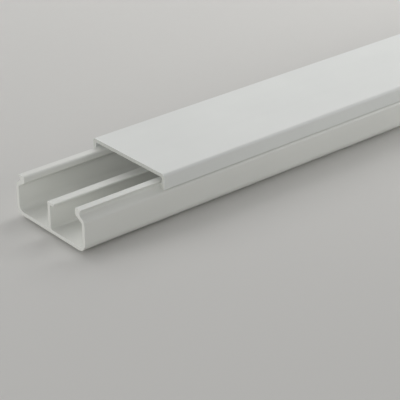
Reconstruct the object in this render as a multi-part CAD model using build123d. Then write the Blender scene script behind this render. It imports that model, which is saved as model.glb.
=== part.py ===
from build123d import *
import math
import os

# Two-channel cord cover raceway: an extruded base with a divider, a clip-on cover that also slides
# along the base, a strip of adhesive tape under the base and the release liner on that tape.
# X runs along the stick, Y across it and Z up. The origin is on the liner's underside, at mid-length.
# Sections are drawn as (across, up), with "up" counted from the underside of the base.

# Overall sizes, in millimetres
stick_length = 400.0      # the base and the cover are cut to the same length
cover_width = 39.0
total_height = 18.2       # underside of the base to the top of the closed cover
cover_slid_by = 33.0      # how far the cover has been pushed along the base

# Cover section
plate = 1.4               # thickness of the top
skirt = 1.3               # thickness of the two sides
top_edge_radius = 1.1
plate_corner_radius = 0.5
skirt_edge = 0.6          # width of the flat bottom edge of the sides
hook_flat = 0.4           # height of the blunt nose of the hook
hook_radius = 0.15

# Base section
floor = 1.3
wall = 1.3
bottom_radius = 3.5       # outside of the bottom corners
neck = 2.45               # thickness of the wall beside the groove
lip_overhang = 0.75       # reach of the lip beyond the groove
lip_tip = 0.4             # thickness of the lip at its edge
lip_lead_in = 0.1         # fall of the lip's top towards its edge
lip_edge_radius = 0.15    # along the lip's thin edge
lip_top_radius = 0.8      # along the lip's inner top edge
lip_angle = 30.0          # slope of the lip's underside and of the hook's top
groove_height = 1.15
groove_radius = 0.8
shoulder_angle = 38.0     # slope from the groove down to the outer side
shoulder_radius = 1.5
joggle_wall = 1.35        # thickness where the wall steps inwards
joggle_angle = 31.0       # slope of that step on the inside
joggle_radius = 0.8

# Divider between the two channels
divider_height = 11.5
divider_web = 1.4
divider_offset = 0.5      # middle of the web, from the middle of the base
divider_head_width = 3.6
divider_head = 1.0
divider_edge_radius = 0.4
divider_foot_radius = 0.8

# Fits
cover_step = 0.3          # the cover's sides stand this far out from the base's sides
running_gap = 0.25        # between the hook and the groove that it runs in
side_gap = 0.7            # between the lip's edge and the inside of the cover's side
lip_gap = 1.5             # between the lip and the top of the cover
seam_gap = 1.25           # height of the open seam under the cover's side

# Adhesive back
tape_width = 27.0
tape_thickness = 0.8
tape_end_gap = 3.0        # the tape stops this far short of the base's cut ends
liner_thickness = 0.15

# Worked out from the sizes above
lip_rise = math.tan(math.radians(lip_angle))
shoulder_rise = math.tan(math.radians(shoulder_angle))
cover_side = cover_width / 2
skirt_inside = cover_side - skirt
plate_underside = total_height - plate
base_side = cover_side - cover_step
wall_inside = base_side - wall
lip_edge = skirt_inside - side_gap
groove_face = lip_edge - lip_overhang
neck_inside = groove_face - neck
hook_nose = groove_face + running_gap
lip_top = plate_underside - lip_gap
lip_edge_top = lip_top - lip_lead_in
lip_edge_bottom = lip_edge_top - lip_tip
groove_top = lip_edge_bottom - lip_overhang * lip_rise
groove_bottom = groove_top - groove_height
shoulder = groove_bottom - (base_side - groove_face) * shoulder_rise
joggle_low = shoulder + wall * shoulder_rise - joggle_wall / math.cos(math.radians(shoulder_angle))
joggle_high = joggle_low + (wall_inside - neck_inside) * math.tan(math.radians(joggle_angle))
skirt_bottom = shoulder + seam_gap
base_underside = tape_thickness + liner_thickness


def hook_top(across):
    # Height of the hook's top, which runs along the lip's underside at the running gap.
    gap = running_gap / math.cos(math.radians(lip_angle))
    return groove_top + (across - groove_face) * lip_rise - gap


def outline(corners):
    # A closed section from corners given as (across, up, radius).
    section = make_face(Polyline(*[(across, up) for across, up, _ in corners], close=True))
    for across, up, radius in corners:
        if radius > 0:
            corner = section.vertices().sort_by_distance((across, up, 0))[0]
            section = fillet(corner, radius)
    return section


def both_sides(half):
    # The corners of the right half, followed by the same corners mirrored for the left half.
    return half + [(-across, up, radius) for across, up, radius in reversed(half)]


def stick(section, start):
    # The section drawn out along the length, from its cut end at start.
    end_plane = Plane(origin=(start, 0, base_underside), x_dir=(0, 1, 0), z_dir=(1, 0, 0))
    return extrude(end_plane * section, amount=stick_length)


def strip(thickness, bottom):
    # A flat strip along the base, a little shorter than it, lying at the given height.
    flat = Pos(0, 0, bottom) * Rectangle(stick_length - 2 * tape_end_gap, tape_width)
    return extrude(flat, amount=thickness, dir=(0, 0, 1))


def divider_section():
    # A web with a flange that turns over to one side, like an upside-down L.
    web_left = divider_offset + divider_web / 2
    web_right = divider_offset - divider_web / 2
    head_right = web_left - divider_head_width
    head_low = divider_height - divider_head
    return outline([
        (web_left, floor / 2, 0),
        (web_left, divider_height, divider_edge_radius),
        (head_right, divider_height, divider_edge_radius),
        (head_right, head_low, divider_edge_radius),
        (web_right, head_low, divider_edge_radius),
        (web_right, floor / 2, 0),
    ])


def base_section():
    channel = outline(both_sides([
        (base_side, 0, bottom_radius),
        (base_side, shoulder, shoulder_radius),
        (groove_face, groove_bottom, groove_radius),
        (groove_face, groove_top, groove_radius),
        (lip_edge, lip_edge_bottom, min(lip_edge_radius, lip_tip / 2)),
        (lip_edge, lip_edge_top, min(lip_edge_radius, lip_tip / 2)),
        (neck_inside, lip_top, lip_top_radius),
        (neck_inside, joggle_high, joggle_radius),
        (wall_inside, joggle_low, joggle_radius),
        (wall_inside, floor, bottom_radius - wall),
    ]))
    section = channel + divider_section()
    for side in (-1, 1):
        foot = (divider_offset + side * divider_web / 2, floor, 0)
        section = fillet(section.vertices().sort_by_distance(foot)[0], divider_foot_radius)
    return section


def cover_section():
    return outline(both_sides([
        (cover_side, total_height, top_edge_radius),
        (cover_side, skirt_bottom, 0),
        (cover_side - skirt_edge, skirt_bottom, 0),
        (hook_nose, hook_top(hook_nose) - hook_flat, min(hook_radius, hook_flat)),
        (hook_nose, hook_top(hook_nose), min(hook_radius, hook_flat)),
        (skirt_inside, hook_top(skirt_inside), 0),
        (skirt_inside, plate_underside, plate_corner_radius),
    ]))


base_start = -stick_length / 2
pieces = {
    "base_channel": stick(base_section(), base_start),
    "cover": stick(cover_section(), base_start + cover_slid_by),
    "adhesive_tape": strip(tape_thickness, liner_thickness),
    "release_liner": strip(liner_thickness, 0),
}

os.makedirs("parts", exist_ok=True)
for node, piece in pieces.items():
    piece.label = node
    export_step(piece, f"parts/{node}.step")
print(f"shoulder {shoulder:.2f}, groove {groove_bottom:.2f} to {groove_top:.2f}, lip top {lip_top:.2f}")
print(f"joggle {joggle_low:.2f} to {joggle_high:.2f}, neck inside {neck_inside:.2f}, hook nose {hook_nose:.2f}")
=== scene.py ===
import bpy
import bmesh
import math
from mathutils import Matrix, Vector


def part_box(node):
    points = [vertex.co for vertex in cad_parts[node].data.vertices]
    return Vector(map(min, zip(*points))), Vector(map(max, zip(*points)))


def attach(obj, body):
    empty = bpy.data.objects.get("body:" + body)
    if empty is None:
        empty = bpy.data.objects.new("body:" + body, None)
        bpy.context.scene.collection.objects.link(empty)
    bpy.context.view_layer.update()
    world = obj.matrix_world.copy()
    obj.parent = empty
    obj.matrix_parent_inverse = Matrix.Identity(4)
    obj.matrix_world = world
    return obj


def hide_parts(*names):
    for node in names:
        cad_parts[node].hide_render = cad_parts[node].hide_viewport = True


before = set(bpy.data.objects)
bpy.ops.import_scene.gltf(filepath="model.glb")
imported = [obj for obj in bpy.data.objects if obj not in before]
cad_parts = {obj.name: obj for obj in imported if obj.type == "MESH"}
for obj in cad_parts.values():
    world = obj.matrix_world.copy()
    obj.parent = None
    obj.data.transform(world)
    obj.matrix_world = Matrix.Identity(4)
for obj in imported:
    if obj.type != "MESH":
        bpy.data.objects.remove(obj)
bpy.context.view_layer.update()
mm = 0.001
samePlace = 0.002 * mm           # points nearer than this count as one
crispAngle = math.radians(34)    # edges that turn by more than this stay sharp
print("frame loaded:", ", ".join(sorted(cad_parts)))


def linearColour(hexCode):
    # sRGB hex to the linear colour that shaders work in
    channels = [int(hexCode[i:i + 2], 16) / 255 for i in (1, 3, 5)]
    return [c / 12.92 if c <= 0.04045 else ((c + 0.055) / 1.055) ** 2.4 for c in channels] + [1.0]


def addNode(tree, kind, settings=None, links=None):
    # settings go to the node's sockets or, where no socket has that name, to the node itself
    node = tree.nodes.new(kind)
    for name, value in (settings or {}).items():
        if isinstance(name, int) or name in node.inputs:
            node.inputs[name].default_value = value
        else:
            setattr(node, name, value)
    for name, socket in (links or {}).items():
        tree.links.new(socket, node.inputs[name])
    return node


def newMaterial(name):
    material = bpy.data.materials.new(name)
    material.use_nodes = True
    material.node_tree.nodes.clear()
    return material


def perMetre(*sizes):
    # how often a pattern of these sizes, in mm along x, y and z, repeats in a metre
    return tuple(1 / (size * mm) for size in sizes)


def selectPart(piece, kind, test):
    # in edit mode: selects the verts, edges or faces that pass the test, and nothing else
    bpy.ops.mesh.select_mode(type=kind)
    bpy.ops.mesh.select_all(action="DESELECT")
    cage = bmesh.from_edit_mesh(piece.data)
    for part in {"VERT": cage.verts, "EDGE": cage.edges, "FACE": cage.faces}[kind]:
        part.select_set(test(part))
    cage.select_flush_mode()
    bmesh.update_edit_mesh(piece.data)


# Extruded PVC

pvcLook = {
    "base": {"pale": "#e6e7e2", "deep": "#e0e1dc", "roughness": 0.40},
    "cover": {"pale": "#e7e9e6", "deep": "#e1e3e0", "roughness": 0.50},
    "ior": 1.53,
    "lineSpacing": 0.9,      # mm between the fine lines that the die leaves along the stick
    "lineLength": 140.0,     # mm that such a line keeps its depth
    "lineDepth": 0.004,      # mm
    "bandWidth": 7.0,        # mm, broad bands of more and less gloss
    "bandLength": 560.0,     # mm
    "bandGloss": 0.05,       # roughness that a band gains or loses
    "bandRange": (0.3, 0.7),     # noise from the glossiest band to the dullest
    "bandTint": 0.5,         # weight of the bands in the colour, where the mottle has 1
    "tintRange": (0.5, 1.0),     # bands and mottle together, from the deep tone to the pale one
    "peelSize": 1.6,         # mm, faint waviness of the skin
    "peelDepth": 0.003,      # mm
    "mottleSize": 45.0,      # mm, slow drift of the colour
    "scuffLength": 22.0,     # mm
    "scuffWidth": 0.5,       # mm
    "scuffDulling": 0.10,    # roughness that a scuff adds
    "scuffFade": (0.66, 0.78),   # noise where a streak begins and where it is full
    "scuffPatch": (0.52, 0.66),  # mottle where a patch of streaks begins and where it is full
}


def extrudedPvc(name, tone):
    # rigid PVC, pushed through a die and cooled: opaque, white-grey and satin, with fine lines lengthwise
    look = pvcLook
    material = newMaterial(name)
    tree = material.node_tree
    place = addNode(tree, "ShaderNodeTexCoord").outputs["Object"]

    alongLines = addNode(tree, "ShaderNodeMapping", {
        "Scale": perMetre(look["lineLength"], look["lineSpacing"], look["lineSpacing"]),
    }, {"Vector": place})
    dieLines = addNode(tree, "ShaderNodeTexNoise", {"Scale": 1.0, "Detail": 2.0},
                       {"Vector": alongLines.outputs[0]})
    alongBands = addNode(tree, "ShaderNodeMapping", {
        "Scale": perMetre(look["bandLength"], look["bandWidth"], look["bandWidth"]),
    }, {"Vector": place})
    bands = addNode(tree, "ShaderNodeTexNoise", {"Scale": 1.0, "Detail": 1.0},
                    {"Vector": alongBands.outputs[0]})
    skin = addNode(tree, "ShaderNodeTexNoise", {"Scale": 1 / (look["peelSize"] * mm), "Detail": 1.0},
                   {"Vector": place})
    mottle = addNode(tree, "ShaderNodeTexNoise", {"Scale": 1 / (look["mottleSize"] * mm), "Detail": 3.0},
                     {"Vector": place})

    # scuffs from sticks rubbing in a bundle: short streaks lengthwise, only where a patch of them lies
    alongScuffs = addNode(tree, "ShaderNodeMapping", {
        "Scale": perMetre(look["scuffLength"], look["scuffWidth"], look["scuffWidth"]),
    }, {"Vector": place})
    streaks = addNode(tree, "ShaderNodeTexNoise", {"Scale": 1.0, "Detail": 0.0},
                      {"Vector": alongScuffs.outputs[0]})
    thinStreaks = addNode(tree, "ShaderNodeMapRange", {
        "From Min": look["scuffFade"][0], "From Max": look["scuffFade"][1],
    }, {"Value": streaks.outputs[0]})
    patches = addNode(tree, "ShaderNodeMapRange", {
        "From Min": look["scuffPatch"][0], "From Max": look["scuffPatch"][1],
    }, {"Value": mottle.outputs[0]})
    scuffs = addNode(tree, "ShaderNodeMath", {"operation": "MULTIPLY"},
                     {0: thinStreaks.outputs[0], 1: patches.outputs[0]})

    # colour: the mottle, shifted a little by the bands
    drift = addNode(tree, "ShaderNodeMath", {"operation": "MULTIPLY_ADD", 1: look["bandTint"]},
                    {0: bands.outputs[0], 2: mottle.outputs[0]})
    drift = addNode(tree, "ShaderNodeMapRange", {
        "From Min": look["tintRange"][0], "From Max": look["tintRange"][1],
    }, {"Value": drift.outputs[0]})
    colour = addNode(tree, "ShaderNodeMix", {
        "data_type": "RGBA", 6: linearColour(tone["deep"]), 7: linearColour(tone["pale"]),
    }, {0: drift.outputs[0]})

    gloss = addNode(tree, "ShaderNodeMapRange", {
        "From Min": look["bandRange"][0], "From Max": look["bandRange"][1],
        "To Min": tone["roughness"] - look["bandGloss"], "To Max": tone["roughness"] + look["bandGloss"],
    }, {"Value": bands.outputs[0]})
    gloss = addNode(tree, "ShaderNodeMath", {"operation": "MULTIPLY_ADD", 1: look["scuffDulling"]},
                    {0: scuffs.outputs[0], 2: gloss.outputs[0]})

    peelBump = addNode(tree, "ShaderNodeBump", {"Distance": look["peelDepth"] * mm},
                       {"Height": skin.outputs[0]})
    lineBump = addNode(tree, "ShaderNodeBump", {"Distance": look["lineDepth"] * mm},
                       {"Height": dieLines.outputs[0], "Normal": peelBump.outputs[0]})
    shader = addNode(tree, "ShaderNodeBsdfPrincipled", {"IOR": look["ior"]}, {
        "Base Color": colour.outputs[2], "Roughness": gloss.outputs[0], "Normal": lineBump.outputs[0],
    })
    addNode(tree, "ShaderNodeOutputMaterial", links={"Surface": shader.outputs[0]})
    return material


sawnLook = {
    # the cut ends' tones are painted shade: a little darker than the satin PVC on the base, darker still on
    # the cover's ends, which get less light
    "base": {"pale": "#dfe0db", "deep": "#d4d5cf"},
    "cover": {"pale": "#cccec8", "deep": "#c0c2bb"},
    "roughness": 0.6,
    "roughnessDrift": 0.08,  # smoother and rougher by this across a mark
    "markSpacing": 0.45,     # mm between the marks of the saw's teeth
    "markSlant": 28.0,       # degrees from upright
    "markDepth": 0.012,      # mm
    "markWobble": 1.5,       # how far the marks stray from straight lines
    "grainSize": 0.25,       # mm
    "edge": 0.1,             # mm broken off the edges of the cut
    "edgeSteps": 3,
}


def sawnPvc(name, tone):
    # the same PVC where the saw went through: duller, with tooth marks across the wall; its two tones sit
    # below the satin PVC as painted shade on the cut ends
    look = sawnLook
    material = newMaterial(name)
    tree = material.node_tree
    place = addNode(tree, "ShaderNodeTexCoord").outputs["Object"]
    slanted = addNode(tree, "ShaderNodeMapping", {"Rotation": (math.radians(look["markSlant"]), 0, 0)},
                      {"Vector": place})
    marks = addNode(tree, "ShaderNodeTexWave", {
        "bands_direction": "Y",
        "Scale": 0.1 * math.pi / (look["markSpacing"] * mm),  # a wave of scale 1 is 0.1 pi long
        "Distortion": look["markWobble"], "Detail": 2.0, "Detail Scale": 0.6,
    }, {"Vector": slanted.outputs[0]})
    grain = addNode(tree, "ShaderNodeTexNoise", {"Scale": 1 / (look["grainSize"] * mm), "Detail": 2.0},
                    {"Vector": place})
    colour = addNode(tree, "ShaderNodeMix", {
        "data_type": "RGBA", 6: linearColour(tone["deep"]), 7: linearColour(tone["pale"]),
    }, {0: grain.outputs[0]})
    rough = addNode(tree, "ShaderNodeMapRange", {
        "To Min": look["roughness"] - look["roughnessDrift"],
        "To Max": look["roughness"] + look["roughnessDrift"],
    }, {"Value": marks.outputs["Fac"]})
    bump = addNode(tree, "ShaderNodeBump", {"Distance": look["markDepth"] * mm},
                   {"Height": marks.outputs["Fac"]})
    shader = addNode(tree, "ShaderNodeBsdfPrincipled", {"IOR": pvcLook["ior"]}, {
        "Base Color": colour.outputs[2], "Roughness": rough.outputs[0], "Normal": bump.outputs[0],
    })
    addNode(tree, "ShaderNodeOutputMaterial", links={"Surface": shader.outputs[0]})
    return material


def bothSides(half, middle=()):
    # the corners of one half, what stands between, then the same half mirrored
    return half + list(middle) + [(-across, up, radius) for across, up, radius in reversed(half)]


def arcSteps(radius):
    # steps in a rounded corner: the larger its radius in mm, the more
    return 12 if radius > 1.5 else 8 if radius > 0.5 else 5


def rise(run, slope):
    # height gained over a run, at a slope in degrees
    return run * math.tan(math.radians(slope))


def extrudedPiece(name, node, corners, satin, sawn):
    # a section traced from its corners (across, up, radius), rounded, drawn out along the stick and sawn off
    low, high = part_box(node)
    points = [Vector((low.x, across * mm, baseUnderside + up * mm)) for across, up, _ in corners]
    bpy.ops.object.select_all(action="DESELECT")
    bpy.ops.mesh.primitive_plane_add(size=mm)
    piece = bpy.context.object
    piece.name = piece.data.name = name
    bpy.ops.object.mode_set(mode="EDIT")
    bpy.ops.mesh.select_mode(type="VERT")
    bpy.ops.mesh.select_all(action="SELECT")
    bpy.ops.mesh.merge(type="CENTER")  # one vertex, to trace the outline with
    bpy.ops.transform.translate(value=points[0])
    for here, there in zip(points, points[1:]):
        bpy.ops.mesh.extrude_region_move(TRANSFORM_OT_translate={"value": there - here})
    bpy.ops.mesh.select_all(action="SELECT")
    bpy.ops.mesh.edge_face_add()

    for i, point in enumerate(points):
        radius = corners[i][2]
        if radius == 0:
            continue
        turn = (point - points[i - 1]).angle(points[(i + 1) % len(points)] - point)
        selectPart(piece, "VERT", lambda vert: (vert.co - point).length < samePlace)
        bpy.ops.mesh.bevel(affect="VERTICES", offset=radius * mm * math.tan(turn / 2),
                           segments=arcSteps(radius), clamp_overlap=False)

    bpy.ops.mesh.select_all(action="SELECT")
    bpy.ops.mesh.extrude_region_move(TRANSFORM_OT_translate={"value": (high.x - low.x, 0, 0)})
    bpy.ops.mesh.select_all(action="SELECT")
    bpy.ops.mesh.normals_make_consistent(inside=False)
    selectPart(piece, "EDGE", lambda edge: abs(edge.verts[0].co.x - edge.verts[1].co.x) < samePlace)
    bpy.ops.mesh.bevel(affect="EDGES", offset=sawnLook["edge"] * mm, segments=sawnLook["edgeSteps"],
                       clamp_overlap=False)

    piece.data.materials.append(satin)
    piece.data.materials.append(sawn)
    selectPart(piece, "FACE", lambda face: abs(face.normal.x) > 0.99)  # the two cut ends
    piece.active_material_index = 1
    bpy.ops.object.material_slot_assign()
    bpy.ops.object.mode_set(mode="OBJECT")
    bpy.ops.object.shade_smooth_by_angle(angle=crispAngle)
    bpy.ops.object.modifier_add(type="WEIGHTED_NORMAL")  # wide flats stay flat beside their rounded edges
    piece.modifiers[-1].keep_sharp = True
    bpy.ops.object.modifier_apply(modifier=piece.modifiers[-1].name)
    return piece


# Section of the two extrusions, in mm and degrees

baseShape = {
    "wall": 1.3,
    "floor": 1.3,
    "bottomRadius": 3.5,     # outside of the bottom corners
    "neck": 2.45,            # wall beside the groove
    "grooveHeight": 1.15,
    "lipReach": 0.75,        # overhang of the lip past the groove
    "lipTip": 0.4,           # thickness of the lip's edge
    "lipTipRadius": 0.15,
    "lipFall": 0.1,          # fall of the lip's top towards its edge
    "lipSlope": 30.0,        # underside of the lip, and top of the cover's hook
    "shoulderSlope": 38.0,   # from the groove down to the outer side
    "shoulderRadius": 1.5,
    "stepWall": 1.35,        # thickness of the wall where it steps inwards
    "stepSlope": 31.0,       # inside of that step
    "bendRadius": 0.8,       # the wall's other corners, and the divider's foot
    "webMiddle": 0.5,        # the divider's web, from the middle of the base
    "web": 1.4,
    "webHeight": 11.5,
    "flange": 1.0,           # thickness
    "flangeWidth": 3.6,      # over the web and out to one side
    "flangeRadius": 0.4,
}
coverShape = {
    "top": 1.4,              # thickness of the flat top
    "side": 1.3,             # thickness of the two sides
    "topRadius": 1.1,
    "insideRadius": 0.5,     # corner under the top
    "sideTip": 0.6,          # flat bottom edge of the sides
    "hookFlat": 0.4,         # height of the hook's blunt nose
    "hookRadius": 0.15,
}
fitRoom = {
    "lipToTop": 1.5,         # from the lip up to the cover
    "lipToSide": 0.7,        # from the lip's edge to the inside of the cover's side
    "hookToGroove": 0.25,    # from the hook to the groove that it runs in
}

# Worked out from those sizes and the frame, with heights from the underside of the base
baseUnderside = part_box("base_channel")[0].z  # in m, as the frame has it
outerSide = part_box("base_channel")[1].y / mm
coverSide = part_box("cover")[1].y / mm
coverTop = (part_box("cover")[1].z - baseUnderside) / mm
coverLow = (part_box("cover")[0].z - baseUnderside) / mm
coverInside = coverSide - coverShape["side"]
topUnderside = coverTop - coverShape["top"]

wallInside = outerSide - baseShape["wall"]
lipEdge = coverInside - fitRoom["lipToSide"]
grooveFace = lipEdge - baseShape["lipReach"]
neckInside = grooveFace - baseShape["neck"]
lipTop = topUnderside - fitRoom["lipToTop"]
lipEdgeTop = lipTop - baseShape["lipFall"]
lipEdgeLow = lipEdgeTop - baseShape["lipTip"]
grooveTop = lipEdgeLow - rise(baseShape["lipReach"], baseShape["lipSlope"])
grooveLow = grooveTop - baseShape["grooveHeight"]
shoulder = grooveLow - rise(outerSide - grooveFace, baseShape["shoulderSlope"])
stepDrop = baseShape["stepWall"] / math.cos(math.radians(baseShape["shoulderSlope"]))
stepLow = shoulder + rise(baseShape["wall"], baseShape["shoulderSlope"]) - stepDrop
stepTop = stepLow + rise(wallInside - neckInside, baseShape["stepSlope"])

webLeft = baseShape["webMiddle"] + baseShape["web"] / 2
webRight = baseShape["webMiddle"] - baseShape["web"] / 2
flangeEnd = webLeft - baseShape["flangeWidth"]
flangeLow = baseShape["webHeight"] - baseShape["flange"]

hookNose = grooveFace + fitRoom["hookToGroove"]
hookDrop = fitRoom["hookToGroove"] / math.cos(math.radians(baseShape["lipSlope"]))
hookTop = grooveTop + rise(hookNose - grooveFace, baseShape["lipSlope"]) - hookDrop
hookRoot = grooveTop + rise(coverInside - grooveFace, baseShape["lipSlope"]) - hookDrop

# Base: the channel with its divider, in one extrusion

baseCorners = bothSides([
    (outerSide, 0, baseShape["bottomRadius"]),
    (outerSide, shoulder, baseShape["shoulderRadius"]),
    (grooveFace, grooveLow, baseShape["bendRadius"]),
    (grooveFace, grooveTop, baseShape["bendRadius"]),
    (lipEdge, lipEdgeLow, baseShape["lipTipRadius"]),
    (lipEdge, lipEdgeTop, baseShape["lipTipRadius"]),
    (neckInside, lipTop, baseShape["bendRadius"]),
    (neckInside, stepTop, baseShape["bendRadius"]),
    (wallInside, stepLow, baseShape["bendRadius"]),
    (wallInside, baseShape["floor"], baseShape["bottomRadius"] - baseShape["wall"]),
], [
    (webLeft, baseShape["floor"], baseShape["bendRadius"]),
    (webLeft, baseShape["webHeight"], baseShape["flangeRadius"]),
    (flangeEnd, baseShape["webHeight"], baseShape["flangeRadius"]),
    (flangeEnd, flangeLow, baseShape["flangeRadius"]),
    (webRight, flangeLow, baseShape["flangeRadius"]),
    (webRight, baseShape["floor"], baseShape["bendRadius"]),
])
basePiece = extrudedPiece("base_extrusion", "base_channel", baseCorners,
                          extrudedPvc("base_pvc_satin", pvcLook["base"]),
                          sawnPvc("base_pvc_sawn_painted_shade", sawnLook["base"]))
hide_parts("base_channel")
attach(basePiece, "base")
print("base made:", len(basePiece.data.polygons), "faces")

# Cover: the flat top with two short sides that hook under the lips

coverCorners = bothSides([
    (coverSide, coverTop, coverShape["topRadius"]),
    (coverSide, coverLow, 0),
    (coverSide - coverShape["sideTip"], coverLow, 0),
    (hookNose, hookTop - coverShape["hookFlat"], coverShape["hookRadius"]),
    (hookNose, hookTop, coverShape["hookRadius"]),
    (coverInside, hookRoot, 0),
    (coverInside, topUnderside, coverShape["insideRadius"]),
])
coverPiece = extrudedPiece("cover_extrusion", "cover", coverCorners,
                           extrudedPvc("cover_pvc_satin", pvcLook["cover"]),
                           sawnPvc("cover_pvc_sawn_painted_shade", sawnLook["cover"]))
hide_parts("cover")
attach(coverPiece, "lid")
print("cover made:", len(coverPiece.data.polygons), "faces")

# Adhesive back: foam tape and its release liner


def flatStrip(name, node, edge, material):
    # a strip cut from a roll, with its edges a little softened
    low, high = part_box(node)
    bpy.ops.object.select_all(action="DESELECT")
    bpy.ops.mesh.primitive_plane_add(size=1, location=((low.x + high.x) / 2, (low.y + high.y) / 2, low.z))
    piece = bpy.context.object
    piece.name = piece.data.name = name
    piece.scale = (high.x - low.x, high.y - low.y, 1)
    bpy.ops.object.transform_apply(location=True, rotation=True, scale=True)
    bpy.ops.object.mode_set(mode="EDIT")
    bpy.ops.mesh.select_all(action="SELECT")
    bpy.ops.mesh.extrude_region_move(TRANSFORM_OT_translate={"value": (0, 0, high.z - low.z)})
    bpy.ops.mesh.select_all(action="SELECT")
    bpy.ops.mesh.normals_make_consistent(inside=False)
    bpy.ops.mesh.bevel(affect="EDGES", offset=edge * mm, segments=2)
    bpy.ops.object.mode_set(mode="OBJECT")
    bpy.ops.object.shade_smooth_by_angle(angle=crispAngle)
    piece.data.materials.append(material)
    return piece


tapeLook = {
    "pale": "#e6e7da", "deep": "#d6d8c6", "roughness": 0.72, "ior": 1.48,
    "cellSize": 0.35,        # mm, cells of the foam
    "cellDepth": 0.03,       # mm
    "edge": 0.12,            # mm
}


def foamTape():
    # closed-cell foam with a tacky skin: chalky, cream white and pitted where it was cut
    look = tapeLook
    material = newMaterial("closed_cell_foam")
    tree = material.node_tree
    place = addNode(tree, "ShaderNodeTexCoord").outputs["Object"]
    cells = addNode(tree, "ShaderNodeTexVoronoi", {"Scale": 1 / (look["cellSize"] * mm)}, {"Vector": place})
    # the colour follows the cells' depth, darker in each pit: painted shade in the pits
    colour = addNode(tree, "ShaderNodeMix", {
        "data_type": "RGBA", 6: linearColour(look["deep"]), 7: linearColour(look["pale"]),
    }, {0: cells.outputs["Distance"]})
    bump = addNode(tree, "ShaderNodeBump", {"Distance": look["cellDepth"] * mm},
                   {"Height": cells.outputs["Distance"]})
    shader = addNode(tree, "ShaderNodeBsdfPrincipled", {"IOR": look["ior"], "Roughness": look["roughness"]}, {
        "Base Color": colour.outputs[2], "Normal": bump.outputs[0],
    })
    addNode(tree, "ShaderNodeOutputMaterial", links={"Surface": shader.outputs[0]})
    return material


tapePiece = flatStrip("foam_tape_strip", "adhesive_tape", tapeLook["edge"], foamTape())
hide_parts("adhesive_tape")
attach(tapePiece, "base")

linerLook = {
    "pale": "#dcbd52", "deep": "#cda83c", "roughness": 0.42, "ior": 1.5,
    "roughnessDrift": 0.1,   # smoother and rougher by this between the fibres
    "fibreSize": 0.7,        # mm
    "cloudSize": 9.0,        # mm, uneven density of the paper
    "fibreDepth": 0.004,     # mm
    "edge": 0.03,            # mm
}


def releasePaper():
    # glazed yellow paper with a release coat: thin, smooth and faintly cloudy, with a soft shine
    look = linerLook
    material = newMaterial("release_paper")
    tree = material.node_tree
    place = addNode(tree, "ShaderNodeTexCoord").outputs["Object"]
    clouds = addNode(tree, "ShaderNodeTexNoise", {"Scale": 1 / (look["cloudSize"] * mm), "Detail": 4.0},
                     {"Vector": place})
    fibres = addNode(tree, "ShaderNodeTexNoise", {"Scale": 1 / (look["fibreSize"] * mm), "Detail": 3.0},
                     {"Vector": place})
    colour = addNode(tree, "ShaderNodeMix", {
        "data_type": "RGBA", 6: linearColour(look["deep"]), 7: linearColour(look["pale"]),
    }, {0: clouds.outputs[0]})
    rough = addNode(tree, "ShaderNodeMapRange", {
        "To Min": look["roughness"] - look["roughnessDrift"],
        "To Max": look["roughness"] + look["roughnessDrift"],
    }, {"Value": fibres.outputs[0]})
    bump = addNode(tree, "ShaderNodeBump", {"Distance": look["fibreDepth"] * mm},
                   {"Height": fibres.outputs[0]})
    shader = addNode(tree, "ShaderNodeBsdfPrincipled", {"IOR": look["ior"]}, {
        "Base Color": colour.outputs[2], "Roughness": rough.outputs[0], "Normal": bump.outputs[0],
    })
    addNode(tree, "ShaderNodeOutputMaterial", links={"Surface": shader.outputs[0]})
    return material


linerPiece = flatStrip("liner_strip", "release_liner", linerLook["edge"], releasePaper())
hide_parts("release_liner")
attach(linerPiece, "base")
print("adhesive back made")

# Studio: pale floor, soft lamps and the camera

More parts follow.
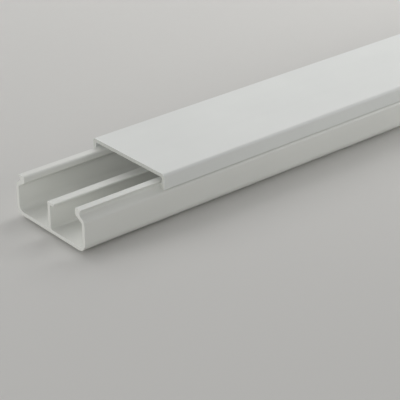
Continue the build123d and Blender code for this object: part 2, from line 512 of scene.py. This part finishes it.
studio = {
    "floor": "#d6d5d2", "floorRoughness": 0.95, "floorShine": 0.2,
    "floorSize": 12.0,       # m
    "floorDrop": 0.05,       # mm under the liner
    "world": "#ffffff", "worldStrength": 0.19,
    "lamps": {               # place, aim and size in m, power in W, spread of the beam in degrees
        "backBox": {"at": (-0.1, 0.85, 1.1), "aim": (-0.1, 0.0, 0.01),
                    "size": 1.0, "power": 3.95, "spread": 180},
        "farBox": {"at": (0.8, 0.3, 0.9), "aim": (-0.05, 0.0, 0.01),
                   "size": 0.8, "power": 4.75, "spread": 180},
        "rimBox": {"at": (0.9, 1.1, 0.5), "aim": (-0.05, 0.0, 0.01),
                   "size": 0.8, "power": 2.4, "spread": 180},
        "endFill": {"at": (-2.2, -1.0, 0.77), "aim": (-0.15, 0.0, 0.01),
                    "size": 1.1, "power": 21.0, "spread": 180},
        "endLeftFill": {"at": (-2.05, 1.0, 0.84), "aim": (-0.15, 0.0, 0.01),
                        "size": 1.1, "power": 7.4, "spread": 180},
        "sideGrid": {"at": (0.6, -0.5, 0.3), "aim": (0.2, 0.0, 0.01),
                     "size": 0.3, "power": 0.26, "spread": 40},
    },
}


def paperFloor():
    # matt seamless paper: even and pale, with hardly any shine
    material = newMaterial("seamless_paper")
    tree = material.node_tree
    shader = addNode(tree, "ShaderNodeBsdfPrincipled", {
        "Base Color": linearColour(studio["floor"]), "Roughness": studio["floorRoughness"],
        "Specular IOR Level": studio["floorShine"],
    })
    addNode(tree, "ShaderNodeOutputMaterial", links={"Surface": shader.outputs[0]})
    return material


bpy.ops.object.select_all(action="DESELECT")
bpy.ops.mesh.primitive_plane_add(size=studio["floorSize"], location=(0, 0, -studio["floorDrop"] * mm))
floor = bpy.context.object
floor.name = "studio_floor"
floor.data.materials.append(paperFloor())

for name, lamp in studio["lamps"].items():
    beam = Vector(lamp["aim"]) - Vector(lamp["at"])
    bpy.ops.object.light_add(type="AREA", location=lamp["at"],
                             rotation=beam.to_track_quat("-Z", "Y").to_euler())
    bpy.context.object.name = name
    bpy.context.object.data.size = lamp["size"]
    bpy.context.object.data.energy = lamp["power"]
    bpy.context.object.data.spread = math.radians(lamp["spread"])

world = bpy.data.worlds.new("studio_world")
bpy.context.scene.world = world
world.use_nodes = True
world.node_tree.nodes.clear()
sky = addNode(world.node_tree, "ShaderNodeBackground", {
    "Color": linearColour(studio["world"]), "Strength": studio["worldStrength"],
})
addNode(world.node_tree, "ShaderNodeOutputWorld", links={"Surface": sky.outputs[0]})

cameraView = {
    "eye": (-0.4506, -0.3699, 0.2411),    # m
    "turn": -40.5,                        # degrees from looking along +Y
    "tilt": 27.17,                        # degrees down
    "lens": 136.48,                       # mm
}
bpy.ops.object.camera_add(location=cameraView["eye"], rotation=(
    math.radians(90 - cameraView["tilt"]), 0, math.radians(cameraView["turn"])))
camera = bpy.context.object
camera.data.lens = cameraView["lens"]
bpy.context.scene.camera = camera
bpy.context.scene.view_settings.view_transform = "Standard"
print("studio ready")
